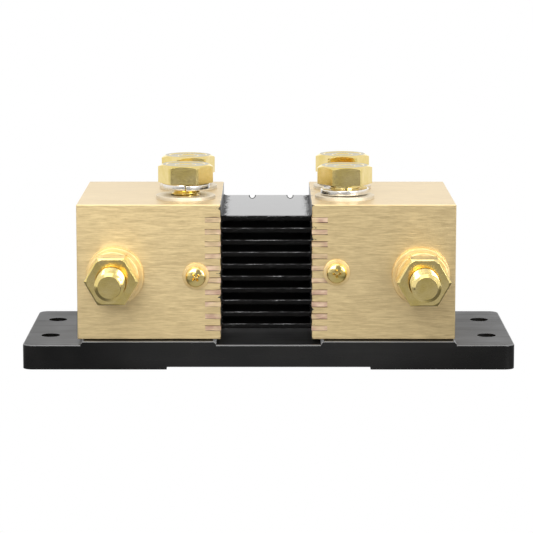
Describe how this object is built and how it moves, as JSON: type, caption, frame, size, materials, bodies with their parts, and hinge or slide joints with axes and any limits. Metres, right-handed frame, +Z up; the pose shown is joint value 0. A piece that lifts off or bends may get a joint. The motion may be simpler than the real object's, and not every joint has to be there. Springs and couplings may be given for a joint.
{
  "type": "battery monitor shunt",
  "caption": "High-current measuring shunt: two brass blocks joined by a stack of black resistor plates, on a black insulating base, with bolted power terminals and sense screws.",
  "frame": {"origin": "centre of the rectangle of mounting holes, on the underside of the base plate's feet", "axes": "+X along the length from the left block to the right, +Y to the back, away from the sense screws, +Z up through the base plate along its mounting holes"},
  "size_m": [0.169, 0.0964, 0.0691],
  "materials": {
    "base_moulding": "black moulded phenolic plastic with a satin surface",
    "brass_block": "brushed pale brass, brushed along the length",
    "resistor_lacquer": "manganin strip under gloss black lacquer",
    "braze": "coppery braze, filed flush",
    "brass_fastener": "bright turned brass",
    "brass_washer": "stamped brass, lightly tumbled",
    "nickel_washer": "stamped brass with a pale bright face",
    "spring_steel": "bright zinc-plated spring steel",
    "zinc_screw": "zinc-plated steel"
  },
  "bodies": {
    "root": {"base_plate": "base_moulding", "resistor_plate_01": "resistor_lacquer", "resistor_plate_02": "resistor_lacquer", "resistor_plate_03": "resistor_lacquer", "resistor_plate_04": "resistor_lacquer", "resistor_plate_05": "resistor_lacquer", "resistor_plate_06": "resistor_lacquer", "resistor_plate_07": "resistor_lacquer", "resistor_plate_08": "resistor_lacquer", "resistor_plate_09": "resistor_lacquer", "resistor_plate_10": "resistor_lacquer", "left_terminal_block": "brass_block", "left_braze_seams": "braze", "left_base_screws": "zinc_screw", "left_side_bolt": "brass_fastener", "left_side_rear_washer": "brass_washer", "left_side_flat_washer": "brass_washer", "right_terminal_block": "brass_block", "right_braze_seams": "braze", "right_base_screws": "zinc_screw", "right_side_bolt": "brass_fastener", "right_side_rear_washer": "brass_washer", "right_side_flat_washer": "brass_washer", "left_front_flat_washer": "nickel_washer", "right_front_flat_washer": "nickel_washer", "left_rear_flat_washer": "nickel_washer", "right_rear_flat_washer": "nickel_washer"},
    "left_front_ring": {"left_front_spring_washer": "spring_steel"},
    "left_front_bolt": {"left_front_terminal_bolt": "brass_fastener"},
    "right_front_ring": {"right_front_spring_washer": "spring_steel"},
    "right_front_bolt": {"right_front_terminal_bolt": "brass_fastener"},
    "left_rear_ring": {"left_rear_spring_washer": "spring_steel"},
    "left_rear_bolt": {"left_rear_terminal_bolt": "brass_fastener"},
    "right_rear_ring": {"right_rear_spring_washer": "spring_steel"},
    "right_rear_bolt": {"right_rear_terminal_bolt": "brass_fastener"},
    "left_nut_ring": {"left_side_spring_washer": "spring_steel"},
    "left_nut": {"left_side_nut": "brass_fastener"},
    "left_sense_ring": {"left_sense_washer": "brass_washer"},
    "left_sense": {"left_sense_screw": "brass_fastener"},
    "right_nut_ring": {"right_side_spring_washer": "spring_steel"},
    "right_nut": {"right_side_nut": "brass_fastener"},
    "right_sense_ring": {"right_sense_washer": "brass_washer"},
    "right_sense": {"right_sense_screw": "brass_fastener"}
  },
  "joints": [
    {"name": "left_front_bolt_travel", "type": "slide", "parent": "root", "child": "left_front_ring", "axis": [0, 0, 1], "range_m": [-0.002, 0.012]},
    {"name": "left_front_bolt_turn", "type": "hinge", "parent": "left_front_ring", "child": "left_front_bolt", "pos_m": [-0.0288, -0.013, 0.06], "axis": [0, 0, 1], "range_deg": [-480.5, 2880.5]},
    {"name": "right_front_bolt_turn", "type": "hinge", "parent": "root", "child": "right_front_ring", "pos_m": [0.0264, -0.013, 0.06], "axis": [0, 0, 1], "range_deg": [-240.5, 2880.5]},
    {"name": "right_front_bolt_travel", "type": "slide", "parent": "right_front_ring", "child": "right_front_bolt", "axis": [0, 0, 1], "range_m": [-0.001, 0.012]},
    {"name": "left_rear_bolt_turn", "type": "hinge", "parent": "root", "child": "left_rear_ring", "pos_m": [-0.0288, 0.015, 0.06], "axis": [0, 0, 1], "range_deg": [-336.5, 2880.5]},
    {"name": "left_rear_bolt_travel", "type": "slide", "parent": "left_rear_ring", "child": "left_rear_bolt", "axis": [0, 0, 1], "range_m": [-0.0014, 0.012]},
    {"name": "right_rear_bolt_turn", "type": "hinge", "parent": "root", "child": "right_rear_ring", "pos_m": [0.0264, 0.015, 0.06], "axis": [0, 0, 1], "range_deg": [-432.5, 2880.5]},
    {"name": "right_rear_bolt_travel", "type": "slide", "parent": "right_rear_ring", "child": "right_rear_bolt", "axis": [0, 0, 1], "range_m": [-0.0018, 0.012]},
    {"name": "left_nut_travel", "type": "slide", "parent": "root", "child": "left_nut_ring", "axis": [0, -1, 0], "range_m": [0, 0.011]},
    {"name": "left_nut_turn", "type": "hinge", "parent": "left_nut_ring", "child": "left_nut", "pos_m": [-0.0531, -0.039, 0.0322], "axis": [0, -1, 0], "range_deg": [0, 2640.5]},
    {"name": "left_sense_travel", "type": "slide", "parent": "root", "child": "left_sense_ring", "axis": [0, -1, 0], "range_m": [0, 0.006]},
    {"name": "left_sense_turn", "type": "hinge", "parent": "left_sense_ring", "child": "left_sense", "pos_m": [-0.02485, -0.033, 0.03215], "axis": [0, -1, 0], "range_deg": [0, 3086.2]},
    {"name": "right_nut_travel", "type": "slide", "parent": "root", "child": "right_nut_ring", "axis": [0, -1, 0], "range_m": [0, 0.011]},
    {"name": "right_nut_turn", "type": "hinge", "parent": "right_nut_ring", "child": "right_nut", "pos_m": [0.0525, -0.039, 0.03185], "axis": [0, -1, 0], "range_deg": [0, 2640.5]},
    {"name": "right_sense_travel", "type": "slide", "parent": "root", "child": "right_sense_ring", "axis": [0, -1, 0], "range_m": [0, 0.006]},
    {"name": "right_sense_turn", "type": "hinge", "parent": "right_sense_ring", "child": "right_sense", "pos_m": [0.02325, -0.033, 0.03345], "axis": [0, -1, 0], "range_deg": [0, 3086.2]}
  ],
  "couplings": [
    {"joint": "left_front_bolt_turn", "follows": "left_front_bolt_travel", "rad_per_m": 4188.8},
    {"joint": "right_front_bolt_turn", "follows": "right_front_bolt_travel", "rad_per_m": 4188.8},
    {"joint": "left_rear_bolt_turn", "follows": "left_rear_bolt_travel", "rad_per_m": 4188.8},
    {"joint": "right_rear_bolt_turn", "follows": "right_rear_bolt_travel", "rad_per_m": 4188.8},
    {"joint": "left_nut_turn", "follows": "left_nut_travel", "rad_per_m": 4188.8},
    {"joint": "left_sense_turn", "follows": "left_sense_travel", "rad_per_m": 8976},
    {"joint": "right_nut_turn", "follows": "right_nut_travel", "rad_per_m": 4188.8},
    {"joint": "right_sense_turn", "follows": "right_sense_travel", "rad_per_m": 8976}
  ]
}
